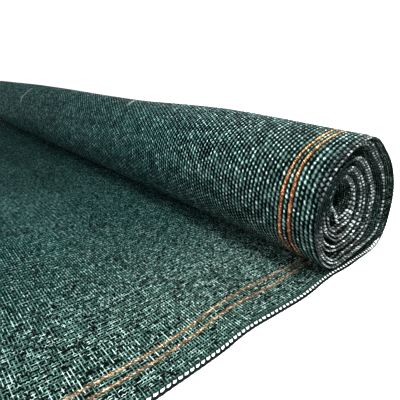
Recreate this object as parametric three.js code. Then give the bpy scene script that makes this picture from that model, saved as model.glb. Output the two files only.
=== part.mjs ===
// A length of knitted screening net, wound into a loose roll with its last stretch lying unrolled.
// Millimetres. X runs along the roll, with the near end at +X. The unrolled stretch reaches to -Y,
// and the net lies on the plane Z = 0. The net is one closed sheet: flat stretch, then the winding.

import * as THREE from 'three';

// Driving dimensions
const NET_WIDTH = 1000;
const SHEET_THICKNESS = 2.2;
const FREE_END_Y = -325;

// The selvages wander along the net, and from part of the first turn on they are drawn in.
const SELVAGE_WANDER = 1.6;
const WANDER_SHORT = 43;
const WANDER_LONG = 118;
const WANDER_PER_TURN = 300;
const WINDING_RECESS = 4;
const RECESS_STARTS_AT = 0.35;
const NEAR_PHASE = 0;
const FAR_PHASE = 2;

// The columns of the sheet's mesh, from the far edge: each one's share of the width, the size of the
// winding's section there, and how far the section is moved in Y. The near end has settled lower.
const COLUMNS = [
  { share: 0.0, size: 0.998, shift: 0.1 },
  { share: 0.1, size: 1.002, shift: 0.2 },
  { share: 0.25, size: 1.01, shift: 0.3 },
  { share: 0.4, size: 1.01, shift: 0.3 },
  { share: 0.55, size: 0.996, shift: 0.4 },
  { share: 0.7, size: 0.988, shift: 0.4 },
  { share: 0.85, size: 1.01, shift: 0.6 },
  { share: 0.92, size: 0.995, shift: 0.2 },
  { share: 0.96, size: 0.984, shift: -0.3 },
  { share: 1.0, size: 0.985, shift: -0.4 },
];
const SECTION_SETTLES_BY = 0.2;
const FLAT_STEPS = 11;
const STEPS_BETWEEN_KNOTS = 2;

// A point this near to the ground counts as lying on it.
const LYING_WITHIN = 0.05;

// Directions in the section, in degrees from +Y towards +Z. A turn starts under the roll at -90,
// climbs the back at 0, crosses the top at 90 and comes down the front at 180.
const DIRECTIONS = [-90, -60, -45, -30, 0, 30, 60, 90, 120, 150, 180, 210, 240];

// One row for each main turn, from the outside in: the turn's own centre, then the reach of the
// sheet's middle from it in each direction, then its thickness in each direction. Where the loose
// turns settle on each other under the roll, a main turn is as thick as the layers that it stands for.
const TURNS = [
  {
    name: 'outer', y: 0, z: 50,
    reach: [48.9, 56.4, 65.0, 65.0, 55.4, 48.4, 46.7, 53.0, 55.4, 60.0, 59.0, 54.0, 50.8],
    thick: [2.2, 2.2, 2.2, 2.2, 2.2, 2.2, 2.2, 2.2, 2.2, 2.2, 2.2, 2.2, 2.6],
  },
  {
    name: 'second', y: 0, z: 50,
    reach: [43.0, 47.8, 55.5, 58.2, 50.0, 43.2, 40.9, 48.2, 51.4, 56.4, 55.5, 50.3, 45.8],
    thick: [5.4, 7.0, 6.4, 4.6, 3.2, 3.0, 2.8, 2.6, 2.4, 2.4, 2.4, 2.8, 4.0],
  },
  {
    name: 'middle', y: -12, z: 55,
    reach: [39.2, 42.2, 45.6, 44.6, 37.0, 29.8, 29.5, 34.0, 36.8, 39.6, 39.3, 38.4, 36.6],
    thick: [7.6, 9.6, 8.0, 5.2, 3.2, 2.8, 2.6, 2.6, 2.4, 2.4, 2.4, 3.2, 6.0],
  },
  {
    name: 'loose', y: -20, z: 60,
    reach: [32.8, 33.6, 33.4, 31.4, 24.4, 20.4, 20.2, 23.2, 24.7, 26.0, 27.2, 27.6, 26.8],
    thick: [9.6, 10.4, 8.4, 5.0, 2.8, 2.6, 2.6, 2.6, 2.4, 2.4, 2.4, 3.6, 7.0],
  },
  {
    name: 'inner', y: -26, z: 66,
    reach: [22.6, 24.4, 23.6, 21.0, 15.8, 12.2, 11.3, 12.4, 12.3, 13.8, 15.8, 15.9, 13.8],
    thick: [10.0, 10.4, 7.0, 4.4, 2.6, 2.4, 2.4, 2.4, 2.4, 2.4, 2.4, 2.4, 2.4],
  },
];

// Soft swells in the unrolled stretch, where the net stands off the ground: one row for each, with
// the middle, the half length and half width, the heading from +X in degrees and the height.
const SWELLS = [
  { x: -330, y: -150, halfLength: 120, halfWidth: 34, heading: 78, height: 2.6 },
  { x: -180, y: -215, halfLength: 105, halfWidth: 30, heading: 64, height: 1.8 },
  { x: 90, y: -185, halfLength: 130, halfWidth: 40, heading: 102, height: 2.2 },
  { x: 300, y: -235, halfLength: 80, halfWidth: 32, heading: 84, height: 1.6 },
];

const netMaterial = new THREE.MeshStandardMaterial({ color: 0x234a45, roughness: 0.62, metalness: 0 });

function knotAt(turn, index) {
  const angle = THREE.MathUtils.degToRad(DIRECTIONS[index]);
  return {
    y: turn.y + turn.reach[index] * Math.cos(angle),
    z: turn.z + turn.reach[index] * Math.sin(angle),
    thick: turn.thick[index],
  };
}

// The winding's middle line in the section, as evenly stepped points from under the roll inwards.
function windingLine() {
  const knots = TURNS.flatMap((turn) => DIRECTIONS.map((_, index) => knotAt(turn, index)));
  const curve = new THREE.CatmullRomCurve3(knots.map((knot) => new THREE.Vector3(knot.y, knot.z, 0)));
  const steps = (knots.length - 1) * STEPS_BETWEEN_KNOTS;
  const line = [];
  for (let step = 0; step <= steps; step += 1) {
    const along = step / STEPS_BETWEEN_KNOTS;
    const lower = Math.min(Math.floor(along), knots.length - 2);
    const point = curve.getPoint(step / steps);
    const thick = THREE.MathUtils.lerp(knots[lower].thick, knots[lower + 1].thick, along - lower);
    line.push({ y: point.x, z: point.y, thick, turns: along / DIRECTIONS.length });
  }
  return line;
}

// The whole middle line: the flat stretch from its free end, then the winding.
function netLine() {
  const flat = [];
  for (let step = 0; step < FLAT_STEPS; step += 1) {
    const y = THREE.MathUtils.lerp(FREE_END_Y, 0, step / FLAT_STEPS);
    flat.push({ y, z: SHEET_THICKNESS / 2, thick: SHEET_THICKNESS, turns: 0 });
  }
  return [...flat, ...windingLine()];
}

// The height of the low swells at a place: each is a long mound that fades out at its rim.
function swellHeight(x, y) {
  let height = 0;
  for (const swell of SWELLS) {
    const heading = THREE.MathUtils.degToRad(swell.heading);
    const [awayX, awayY] = [x - swell.x, y - swell.y];
    const along = awayX * Math.cos(heading) + awayY * Math.sin(heading);
    const across = awayY * Math.cos(heading) - awayX * Math.sin(heading);
    const distance = Math.hypot(along / swell.halfLength, across / swell.halfWidth);
    if (distance < 1) height += (swell.height * (1 + Math.cos(Math.PI * distance))) / 2;
  }
  return height;
}

// Where a point of the middle line lies at this column, which stands at x. The wound part takes the
// section's size and shift, and the flat stretch takes the low swells of the ground layer.
function placed(point, column, x) {
  if (point.turns === 0) return { y: point.y, z: point.z + swellHeight(x, point.y) };
  const settled = THREE.MathUtils.smoothstep(point.turns, 0, SECTION_SETTLES_BY);
  const size = THREE.MathUtils.lerp(1, column.size, settled);
  return { y: point.y * size + settled * column.shift, z: Math.max(point.z * size, point.thick / 2) };
}

// How far the selvages stand in or out at a point of the middle line. The wound part is drawn in.
function selvageShift(point, phase) {
  const recess = WINDING_RECESS * THREE.MathUtils.smoothstep(point.turns, RECESS_STARTS_AT, 1);
  const travelled = point.turns * WANDER_PER_TURN + point.y;
  const wander = Math.sin(travelled / WANDER_SHORT + phase) * Math.cos(travelled / WANDER_LONG);
  return SELVAGE_WANDER * wander - recess;
}

// A point of the sheet's skin: half the thickness off the middle line, square to it. Side 1 is the
// face that is inside the roll, and side -1 is the outer face, which lies on the ground.
function skinPoint(line, row, side, column, x) {
  const here = placed(line[row], column, x);
  const reach = (side * line[row].thick) / 2;
  if (here.z <= line[row].thick / 2 + LYING_WITHIN) return [x, here.y, here.z + reach];
  const before = placed(line[Math.max(row - 1, 0)], column, x);
  const after = placed(line[Math.min(row + 1, line.length - 1)], column, x);
  const length = Math.hypot(after.y - before.y, after.z - before.z);
  const y = here.y - (reach * (after.z - before.z)) / length;
  const z = here.z + (reach * (after.y - before.y)) / length;
  return [x, y, Math.max(z, 0)];
}

function netGeometry() {
  const line = netLine();
  const rows = line.length;
  const columns = COLUMNS.length;
  const positions = [];
  for (const side of [1, -1]) {
    line.forEach((point, row) => {
      const farEdge = -NET_WIDTH / 2 - selvageShift(point, FAR_PHASE);
      const nearEdge = NET_WIDTH / 2 + selvageShift(point, NEAR_PHASE);
      for (const column of COLUMNS) {
        const x = THREE.MathUtils.lerp(farEdge, nearEdge, column.share);
        positions.push(...skinPoint(line, row, side, column, x));
      }
    });
  }

  const index = [];
  const vertex = (side, row, column) => (side * rows + row) * columns + column;
  const quad = (a, b, c, d) => index.push(a, b, c, a, c, d);
  for (let row = 0; row < rows - 1; row += 1) {
    for (let column = 0; column < columns - 1; column += 1) {
      quad(
        vertex(0, row, column), vertex(0, row, column + 1),
        vertex(0, row + 1, column + 1), vertex(0, row + 1, column),
      );
      quad(
        vertex(1, row, column), vertex(1, row + 1, column),
        vertex(1, row + 1, column + 1), vertex(1, row, column + 1),
      );
    }
    const last = columns - 1;
    quad(vertex(0, row, 0), vertex(0, row + 1, 0), vertex(1, row + 1, 0), vertex(1, row, 0));
    quad(vertex(0, row, last), vertex(1, row, last), vertex(1, row + 1, last), vertex(0, row + 1, last));
  }
  for (let column = 0; column < columns - 1; column += 1) {
    const end = rows - 1;
    quad(vertex(0, 0, column), vertex(1, 0, column), vertex(1, 0, column + 1), vertex(0, 0, column + 1));
    quad(
      vertex(0, end, column), vertex(0, end, column + 1),
      vertex(1, end, column + 1), vertex(1, end, column),
    );
  }

  const geometry = new THREE.BufferGeometry();
  geometry.setAttribute('position', new THREE.Float32BufferAttribute(positions, 3));
  geometry.setIndex(index);
  return geometry;
}

// The origin is the middle of the net's box, on the ground.
function centred(geometry) {
  geometry.computeBoundingBox();
  const { min, max } = geometry.boundingBox;
  geometry.translate(-(min.x + max.x) / 2, -(min.y + max.y) / 2, -min.z);
  geometry.computeVertexNormals();
  return geometry;
}

const net = new THREE.Mesh(centred(netGeometry()), netMaterial);
net.name = 'privacy_net';

const part = new THREE.Group();
part.add(net);

export default part;
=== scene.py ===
"""A loose roll of knitted privacy net, with its last stretch lying unrolled on the ground.

Metres in the finished meshes, and millimetres in the tables. X runs along the roll with the near
end at +X, the unrolled stretch reaches to -Y, and the net lies on Z = 0. A place on the net is
given by two numbers: how far it is along the net from the free end, and its wale, which counts the
columns of stitches from the near edge.
"""

import logging
import math
from dataclasses import dataclass
from enum import Enum
from typing import Callable, Union

import bpy
import numpy as np
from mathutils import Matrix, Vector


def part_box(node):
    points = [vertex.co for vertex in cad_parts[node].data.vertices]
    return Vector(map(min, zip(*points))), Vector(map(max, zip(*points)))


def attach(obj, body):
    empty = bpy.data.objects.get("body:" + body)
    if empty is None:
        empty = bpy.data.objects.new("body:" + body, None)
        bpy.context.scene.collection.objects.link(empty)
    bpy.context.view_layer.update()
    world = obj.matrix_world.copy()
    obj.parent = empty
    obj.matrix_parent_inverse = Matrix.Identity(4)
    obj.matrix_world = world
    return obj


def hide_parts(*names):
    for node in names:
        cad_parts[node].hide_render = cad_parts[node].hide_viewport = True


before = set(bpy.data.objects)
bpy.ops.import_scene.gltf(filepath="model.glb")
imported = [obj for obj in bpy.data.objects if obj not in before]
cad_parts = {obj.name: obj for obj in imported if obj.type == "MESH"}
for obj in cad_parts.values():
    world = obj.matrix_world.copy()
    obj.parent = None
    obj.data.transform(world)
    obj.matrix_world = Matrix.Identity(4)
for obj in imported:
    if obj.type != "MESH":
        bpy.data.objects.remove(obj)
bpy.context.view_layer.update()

log = logging.getLogger("privacy_net")

MM = 0.001
NODE = "privacy_net"
BODY = "root"
KNIT_MAP = "Knit"
# The point attribute with the painted highlight on the edge cords' stitches.
CROWN_HIGHLIGHT = "Crown"
BAKE_MAP = "OFBake"


class Face(Enum):
    """The net's two faces. INNER is inside the roll and on top of the flat stretch."""

    INNER = 1
    OUTER = -1

    @property
    def slot(self) -> int:
        """The face's material slot."""
        return 0 if self is Face.INNER else 1

    @property
    def flips(self) -> bool:
        """Whether the corners of its faces run the other way."""
        return self is Face.OUTER


class Edge(Enum):
    """The net's two edges, with the share that each adds to a random seed."""

    NEAR = 1
    FAR = 0


# ---- The section -------------------------------------------------------------------------------


@dataclass(frozen=True)
class MainTurn:
    """One main turn of the winding, in millimetres, as the solid has it.

    reach and thick have one value for each of DIRECTIONS. plies says where the fine turns run in
    the thickness, from the outside inwards: 0.5 is its outer face and -0.5 its inner face.
    """

    y: float
    z: float
    reach: tuple[float, ...]
    thick: tuple[float, ...]
    plies: tuple[float, ...]


# In degrees from +Y towards +Z. A turn starts under the roll, climbs the back, crosses the top and
# comes down the front.
DIRECTIONS = (-90, -60, -45, -30, 0, 30, 60, 90, 120, 150, 180, 210, 240)

TURNS = (
    MainTurn(
        y=0,
        z=50,
        reach=(48.9, 56.4, 65.0, 65.0, 55.4, 48.4, 46.7, 53.0, 55.4, 60.0, 59.0, 54.0, 50.8),
        thick=(2.2,) * len(DIRECTIONS),
        plies=(0.0,),
    ),
    MainTurn(
        y=0,
        z=50,
        reach=(43.0, 47.8, 55.5, 58.2, 50.0, 43.2, 40.9, 48.2, 51.4, 56.4, 55.5, 50.3, 45.8),
        thick=(5.4, 7.0, 6.4, 4.6, 3.2, 3.0, 2.8, 2.6, 2.4, 2.4, 2.4, 2.8, 4.0),
        plies=(0.34, -0.32),
    ),
    MainTurn(
        y=-12,
        z=55,
        reach=(39.2, 42.2, 45.6, 44.6, 37.0, 29.8, 29.5, 34.0, 36.8, 39.6, 39.3, 38.4, 36.6),
        thick=(7.6, 9.6, 8.0, 5.2, 3.2, 2.8, 2.6, 2.6, 2.4, 2.4, 2.4, 3.2, 6.0),
        plies=(0.3, -0.34),
    ),
    MainTurn(
        y=-20,
        z=60,
        reach=(32.8, 33.6, 33.4, 31.4, 24.4, 20.4, 20.2, 23.2, 24.7, 26.0, 27.2, 27.6, 26.8),
        thick=(9.6, 10.4, 8.4, 5.0, 2.8, 2.6, 2.6, 2.6, 2.4, 2.4, 2.4, 3.6, 7.0),
        plies=(0.36, 0.02, -0.36),
    ),
    MainTurn(
        y=-26,
        z=66,
        reach=(22.6, 24.4, 23.6, 21.0, 15.8, 12.2, 11.3, 12.4, 12.3, 13.8, 15.8, 15.9, 13.8),
        thick=(10.0, 10.4, 7.0, 4.4, 2.6, 2.4, 2.4, 2.4, 2.4, 2.4, 2.4, 2.4, 2.4),
        plies=(0.34, 0.0, -0.34),
    ),
)

FREE_END_Y = -325.0
GROUND_MIDDLE = 1.1


def curve_through(knots: np.ndarray, places: np.ndarray) -> np.ndarray:
    """Points on the smooth centripetal curve through the knots, the curve that the solid follows.

    Args:
        knots: One row for each knot.
        places: Where the points are, counted in knots from the first one.

    Returns:
        One row for each place.
    """
    whole = np.clip(np.floor(places).astype(int), 0, len(knots) - 2)
    part = (places - whole)[:, None]
    padded = np.vstack([2 * knots[0] - knots[1], knots, 2 * knots[-1] - knots[-2]])
    a, b, c, d = (padded[whole + step] for step in range(4))

    def span(first: np.ndarray, last: np.ndarray) -> np.ndarray:
        """The centripetal span between two rows of points."""
        return np.sqrt(np.linalg.norm(last - first, axis=1))[:, None]

    ab, bc, cd = span(a, b), span(b, c), span(c, d)
    leave = ((b - a) / ab - (c - a) / (ab + bc) + (c - b) / bc) * bc
    arrive = ((c - b) / bc - (d - b) / (bc + cd) + (d - c) / cd) * bc
    return (
        b
        + leave * part
        + (-3 * b + 3 * c - 2 * leave - arrive) * part**2
        + (2 * b - 2 * c + leave + arrive) * part**3
    )


def smoothstep(value: np.ndarray, low: float, high: float) -> np.ndarray:
    """0 below low, 1 above high and smooth between them."""
    share = np.clip((value - low) / (high - low), 0, 1)
    return share * share * (3 - 2 * share)


class NetLine:
    """The net's middle line in the section, known by the distance from its free end."""

    samples_between_knots = 24
    flat_points = 65

    def __init__(self) -> None:
        """Lays the line through the knots of every ply."""
        knots = self._knots()
        count = (len(knots) - 1) * self.samples_between_knots
        places = np.arange(count + 1) / self.samples_between_knots
        wound = curve_through(knots, places)
        flat_y = np.linspace(FREE_END_Y, 0, self.flat_points + 1)[:-1]
        flat = np.stack([flat_y, np.full_like(flat_y, GROUND_MIDDLE)], axis=1)
        self.points = np.vstack([flat, wound])
        self.turns = np.concatenate([np.zeros(len(flat)), places / len(DIRECTIONS)])
        steps = np.linalg.norm(np.diff(self.points, axis=0), axis=1)
        self.along = np.concatenate([[0], np.cumsum(steps)])
        tangent = np.gradient(self.points, self.along, axis=0)
        tangent /= np.linalg.norm(tangent, axis=1)[:, None]
        self.inward = np.stack([-tangent[:, 1], tangent[:, 0]], axis=1)
        self.length = float(self.along[-1])

    @staticmethod
    def _knots() -> np.ndarray:
        """The knots of all plies, from under the roll inwards.

        Returns:
            One row of Y and Z for each knot.
        """
        angles = np.radians(DIRECTIONS)
        rows = []
        for turn in TURNS:
            for ply in turn.plies:
                reach = np.array(turn.reach) + ply * np.array(turn.thick)
                y, z = turn.y + reach * np.cos(angles), turn.z + reach * np.sin(angles)
                rows.append(np.stack([y, z], axis=1))
        return np.vstack(rows)

    def along_at(self, turns: float) -> float:
        """The distance along the net at which so many turns are wound."""
        wound = slice(self.flat_points, None)
        return float(np.interp(turns, self.turns[wound], self.along[wound]))

    def turns_at(self, along: np.ndarray) -> np.ndarray:
        """The turns wound up to each distance along the net."""
        return np.interp(along, self.along, self.turns)

    def at(self, along: np.ndarray) -> tuple[np.ndarray, ...]:
        """Where the line runs.

        Args:
            along: Distances from the free end.

        Returns:
            Y, Z, the two parts of the inward direction, and the turns wound so far.
        """
        columns = (*self.points.T, *self.inward.T, self.turns)
        return tuple(np.interp(along, self.along, column) for column in columns)


# ---- The net's surface -------------------------------------------------------------------------


@dataclass(frozen=True)
class Swell:
    """A low mound in the unrolled stretch, where the net stands off the ground."""

    x: float
    y: float
    half_length: float
    half_width: float
    heading: float
    height: float

    def height_at(self, x: np.ndarray, y: np.ndarray) -> np.ndarray:
        """How high the mound is.

        Args:
            x: X of the places, in millimetres.
            y: Y of the places, in the section's own millimetres.

        Returns:
            The height over each place, 0 outside the mound.
        """
        heading = math.radians(self.heading)
        away_x, away_y = x - self.x, y - self.y
        ahead = away_x * math.cos(heading) + away_y * math.sin(heading)
        aside = away_y * math.cos(heading) - away_x * math.sin(heading)
        distance = np.hypot(ahead / self.half_length, aside / self.half_width)
        return np.where(distance < 1, self.height * (1 + np.cos(np.pi * distance)) / 2, 0)


# X, Y, half length, half width, heading in degrees from +X, and height.
SWELLS = (
    Swell(-330, -150, 120, 34, 78, 2.6),
    Swell(-180, -215, 105, 30, 64, 1.8),
    Swell(90, -185, 130, 40, 102, 2.2),
    Swell(300, -235, 80, 32, 84, 1.6),
)

# How the near edge and its two marker lines wander, in millimetres, by distance from the free end:
# distance, edge, first line, second line.
NEAR_WANDER = (
    (0, 0.4, 0.0, 0.0),
    (100, -0.3, 2.0, 2.4),
    (155, -0.5, 3.9, 4.5),
    (171, -0.6, 2.9, 3.5),
    (187, -0.8, 1.4, 1.6),
    (200, -2.4, -0.9, -0.6),
    (212, -2.5, -1.9, -1.7),
    (227, -1.5, -1.3, -2.7),
    (238, -0.8, -0.5, -2.4),
    (256, 0.3, -0.3, -1.3),
    (268, 0.1, -0.4, -0.9),
    (280, -1.0, -0.6, 0.1),
    (297, -1.8, -1.3, -1.0),
    (318, -0.3, -0.4, -0.3),
    (341, -0.8, 0.0, 0.4),
    (420, 0.6, 0.4, 0.2),
    (515, 0.0, 1.0, 1.5),
    (534, 0.3, -0.9, 0.5),
    (546, 0.0, -1.9, -0.9),
    (560, -0.2, -1.4, -0.6),
    (571, -0.5, -0.4, -0.9),
    (584, -0.2, 0.6, -0.5),
    (598, 0.0, 0.6, -0.3),
    (612, 0.5, -0.5, -2.5),
    (622, 0.3, 0.3, -2.0),
    (635, 0.2, 1.5, 0.5),
    (655, 0.0, 0.0, 0.0),
)

# How the winding's section changes along the roll: X, its size, and how far it is moved in Y.
SECTION_SIZES = (
    (-500, 0.9975, 0.1),
    (-400, 1.0023, 0.2),
    (-300, 1.0087, 0.3),
    (-200, 1.0154, 0.3),
    (-100, 1.012, 0.3),
    (0, 1.0017, 0.4),
    (100, 0.9876, 0.5),
    (200, 0.9826, 0.4),
    (280, 1.0004, 0.6),
    (350, 1.0117, 0.6),
    (420, 0.9929, 0.2),
    (460, 0.9751, -0.6),
    (500, 0.9618, -2.2),
)


@dataclass(frozen=True)
class Knit:
    """How the net is knitted, in millimetres."""

    width: float = 1000.0
    wales: int = 286
    cord_inset: float = 0.6
    course: float = 3.6
    marker_wales: tuple[int, ...] = (6, 8)
    settled_wales: float = 40.0

    @property
    def pitch(self) -> float:
        """How far apart the wales stand."""
        return (self.width - 2 * self.cord_inset) / self.wales


class NetSurface:
    """Gives the place in space of any point of the net.

    The edges wander by wander, with a short and a long wave, and are drawn in by recess from part
    of the first turn on. Past handover the near edge leaves its table. A sheet begins at open_rim
    where the ladder of its edge is open, and at closed_rim where it is closed up, which moves the
    columns under drawn_wales. The section's sizes weigh size_weight times in their curve's spans.
    """

    wander = 1.6
    wander_short = 43.0
    wander_long = 118.0
    far_phase = 2.0
    recess = 4.0
    recess_from = 0.35
    handover = 655.0
    handover_half = 30.0
    smoothing = 12
    size_weight = 100
    open_rim = 1.12
    closed_rim = 0.1
    drawn_wales = 1.7
    lowest = 0.02

    def __init__(self, line: NetLine, knit: Knit, shift_y: float) -> None:
        """Keeps what the places follow from.

        Args:
            line: The middle line in the section.
            knit: The stitches' sizes.
            shift_y: From the section's Y to the part's, in millimetres.
        """
        self.line = line
        self.knit = knit
        self.shift_y = shift_y
        self._fine = np.arange(0, self.handover + 1, 1.0)
        table = np.array(NEAR_WANDER)
        window = np.hanning(2 * self.smoothing + 1)
        window = window / window.sum()
        self._near = []
        for column in (1, 2, 3):
            values = np.interp(self._fine, table[:, 0], table[:, column])
            self._near.append(np.convolve(np.pad(values, self.smoothing, "edge"), window, "valid"))
        sizes = np.array(SECTION_SIZES)
        self._stations = np.linspace(sizes[0, 0], sizes[-1, 0], 401)
        places = np.interp(self._stations, sizes[:, 0], np.arange(len(sizes)))
        self._sizes = curve_through(sizes[:, 1:] * (self.size_weight, 1), places)

    def _loose(self, along: np.ndarray, phase: float) -> np.ndarray:
        """The plain wander of an edge."""
        short, long = along / self.wander_short + phase, along / self.wander_long
        return self.wander * np.sin(short) * np.cos(long)

    def x_of(self, along: np.ndarray, wale: np.ndarray, turns: np.ndarray) -> np.ndarray:
        """How far along the roll a wale runs.

        Args:
            along: Distance from the free end.
            wale: The wale, counted from the near edge.
            turns: Turns wound so far.

        Returns:
            X in millimetres.
        """
        knit = self.knit
        drawn_in = self.recess * smoothstep(turns, self.recess_from, 1.0)
        half = self.handover_half
        inner = smoothstep(along, self.handover - half, self.handover + half)
        loose = self._loose(along, 0.0)
        near = [
            np.interp(along, self._fine, values) * (1 - inner) + loose * inner - drawn_in
            for values in self._near
        ]
        far = self._loose(along, self.far_phase) - drawn_in
        first, second = knit.marker_wales
        stops = (0, first, second, knit.settled_wales)
        x = knit.width / 2 - knit.cord_inset - wale * knit.pitch
        for index, values in enumerate(near):
            weights = np.zeros(len(stops))
            weights[index] = 1
            x = x + values * np.interp(wale, stops, weights)
        return x - far * np.interp(knit.wales - wale, (0, knit.settled_wales), (1, 0))

    @staticmethod
    def open_top(turns: np.ndarray) -> np.ndarray:
        """Where the ladder is open over the top of the outer turn: 1 there and 0 elsewhere."""
        return smoothstep(turns, 0.5, 0.55) * (1 - smoothstep(turns, 0.69, 0.74))

    def closed(self, along: np.ndarray) -> np.ndarray:
        """How far the ladder is closed up.

        Args:
            along: Distance from the free end.

        Returns:
            0 where it is open and 1 where the edge is drawn together.
        """
        turns = self.line.turns_at(along)
        phase = np.mod(turns, 1.0)
        inner = smoothstep(phase, 0.14, 0.2) * (1 - smoothstep(phase, 0.84, 0.9))
        outer = smoothstep(turns, 0.14, 0.2) * (1 - self.open_top(turns))
        return np.where(turns < 1, outer, inner)

    def rim(self, along: np.ndarray, wale: np.ndarray) -> np.ndarray:
        """Moves the outermost columns of a sheet out to the edge where the ladder is closed up.

        Args:
            along: Distance from the free end.
            wale: The wale.

        Returns:
            The wales, moved at the rims.
        """
        start = self.open_rim + (self.closed_rim - self.open_rim) * self.closed(along)
        share = (self.drawn_wales - start) / (self.drawn_wales - self.open_rim)
        from_near, from_far = wale, self.knit.wales - wale
        moved_near = start + (from_near - self.open_rim) * share
        moved_far = self.knit.wales - start - (from_far - self.open_rim) * share
        moved = np.where(from_near < self.drawn_wales, moved_near, wale)
        return np.where(from_far < self.drawn_wales, moved_far, moved)

    def place(self, along: np.ndarray, wale: np.ndarray, lift: np.ndarray) -> np.ndarray:
        """Points of the net in space.

        Args:
            along: Distance from the free end, in millimetres.
            wale: The wale, counted from the near edge.
            lift: How far off the middle line the point is, towards the inner face.

        Returns:
            The points in metres, with X, Y and Z in the last axis.
        """
        along, wale, lift = np.broadcast_arrays(along, wale, lift)
        y, z, inward_y, inward_z, turns = self.line.at(along)
        x = self.x_of(along, wale, turns)
        settled = smoothstep(turns, 0.0, 0.2)
        weighed, moved = (np.interp(x, self._stations, column) for column in self._sizes.T)
        size = 1 + settled * (weighed / self.size_weight - 1)
        shift = settled * moved
        ground = sum(mound.height_at(x, y) for mound in SWELLS)
        new_y = y * size + shift + inward_y * lift
        new_z = z * size + np.where(turns > 0, 0, ground) + inward_z * lift
        points = np.stack([x, new_y + self.shift_y, np.maximum(new_z, self.lowest)], axis=-1)
        return points * MM


# ---- Making cloth meshes -----------------------------------------------------------------------

Lift = Callable[[np.ndarray, np.ndarray], np.ndarray]
Border = tuple[np.ndarray, np.ndarray]


@dataclass
class Shelf:
    """A full-width shelf of the bake map, cut into strips that lie on each other."""

    low: float
    high: float
    strips: int = 1

    def spread(self, across: np.ndarray, up: np.ndarray) -> np.ndarray:
        """Map places for the corners of faces.

        Args:
            across: Each corner's share of the patch's longer way, one row for each face.
            up: Each corner's share of its shorter way.

        Returns:
            The places, with two numbers in the last axis.
        """
        strip = np.floor(across.mean(axis=1, keepdims=True) * self.strips)
        u = across * self.strips - strip
        v = (strip + 0.03 + 0.94 * up) / self.strips
        return np.stack([0.004 + 0.992 * u, self.low + (self.high - self.low) * v], axis=-1)


class ClothMesh:
    """Collects patches of cloth and turns them into one closed mesh."""

    def __init__(self, surface: NetSurface) -> None:
        """Starts with no patches.

        Args:
            surface: Where the net's points are in space.
        """
        self.surface = surface
        self.points: list[np.ndarray] = []
        self.knit: list[np.ndarray] = []
        self.faces: list[tuple[np.ndarray, np.ndarray, int]] = []
        self.count = 0

    def add_points(self, along: np.ndarray, wale: np.ndarray, lift: np.ndarray) -> np.ndarray:
        """Adds points of the net.

        Args:
            along: Distance from the free end.
            wale: The wale.
            lift: How far off the middle line.

        Returns:
            The points' numbers, in the shape of the arguments.
        """
        along, wale, lift = np.broadcast_arrays(along, wale, lift)
        self.points.append(self.surface.place(along, wale, lift).reshape(-1, 3))
        course = along / self.surface.knit.course
        self.knit.append(np.stack([wale, course], axis=-1).reshape(-1, 2))
        numbers = np.arange(self.count, self.count + along.size).reshape(along.shape)
        self.count += along.size
        return numbers

    def add_faces(self, corners: np.ndarray, bake: np.ndarray, flip: bool, slot: int = 0) -> None:
        """Adds faces with the same number of corners.

        Args:
            corners: Point numbers, one row for each face.
            bake: The corners' places in the bake map.
            flip: Whether the faces turn the other way.
            slot: The material slot.
        """
        if flip:
            corners, bake = corners[:, ::-1], bake[:, ::-1]
        self.faces.append((corners, bake, slot))

    def finish(self, name: str) -> bpy.types.Object:
        """Makes the object.

        Args:
            name: The piece's name.

        Returns:
            The new object, at the origin.
        """
        mesh = bpy.data.meshes.new(name)
        points = np.vstack(self.points)
        knit = np.vstack(self.knit)
        corners = np.concatenate([face.reshape(-1) for face, _, _ in self.faces])
        sizes = np.concatenate([np.full(len(face), face.shape[1]) for face, _, _ in self.faces])
        bake = np.concatenate([place.reshape(-1, 2) for _, place, _ in self.faces])
        slots = np.concatenate([np.full(len(face), slot) for face, _, slot in self.faces])
        mesh.vertices.add(len(points))
        mesh.vertices.foreach_set("co", points.astype(np.float32).ravel())
        mesh.loops.add(len(corners))
        mesh.loops.foreach_set("vertex_index", corners.astype(np.int32))
        mesh.polygons.add(len(sizes))
        starts = np.concatenate([[0], np.cumsum(sizes)[:-1]])
        mesh.polygons.foreach_set("loop_start", starts.astype(np.int32))
        mesh.polygons.foreach_set("loop_total", sizes.astype(np.int32))
        mesh.polygons.foreach_set("material_index", slots.astype(np.int32))
        mesh.update(calc_edges=True)
        for map_name, places in ((KNIT_MAP, knit[corners]), (BAKE_MAP, bake)):
            layer = mesh.uv_layers.new(name=map_name)
            layer.data.foreach_set("uv", places.astype(np.float32).ravel())
        mesh.validate()
        mesh.shade_smooth()
        piece = bpy.data.objects.new(name, mesh)
        bpy.context.scene.collection.objects.link(piece)
        return piece


@dataclass
class Patch:
    """A patch of one face: a grid of rows along the net and columns across it.

    share and strips give its room in the bake map, and lengthwise lays its rows along the strips.
    Where pits is set, the grid's points are crossings of yarns, and each cell has a pit in its
    middle. stray is how far the points stray, in millimetres.
    """

    along: np.ndarray
    wales: np.ndarray
    lift: Lift
    share: float
    strips: int = 1
    lengthwise: bool = False
    pits: Lift | None = None
    stray: float = 0.0


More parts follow.
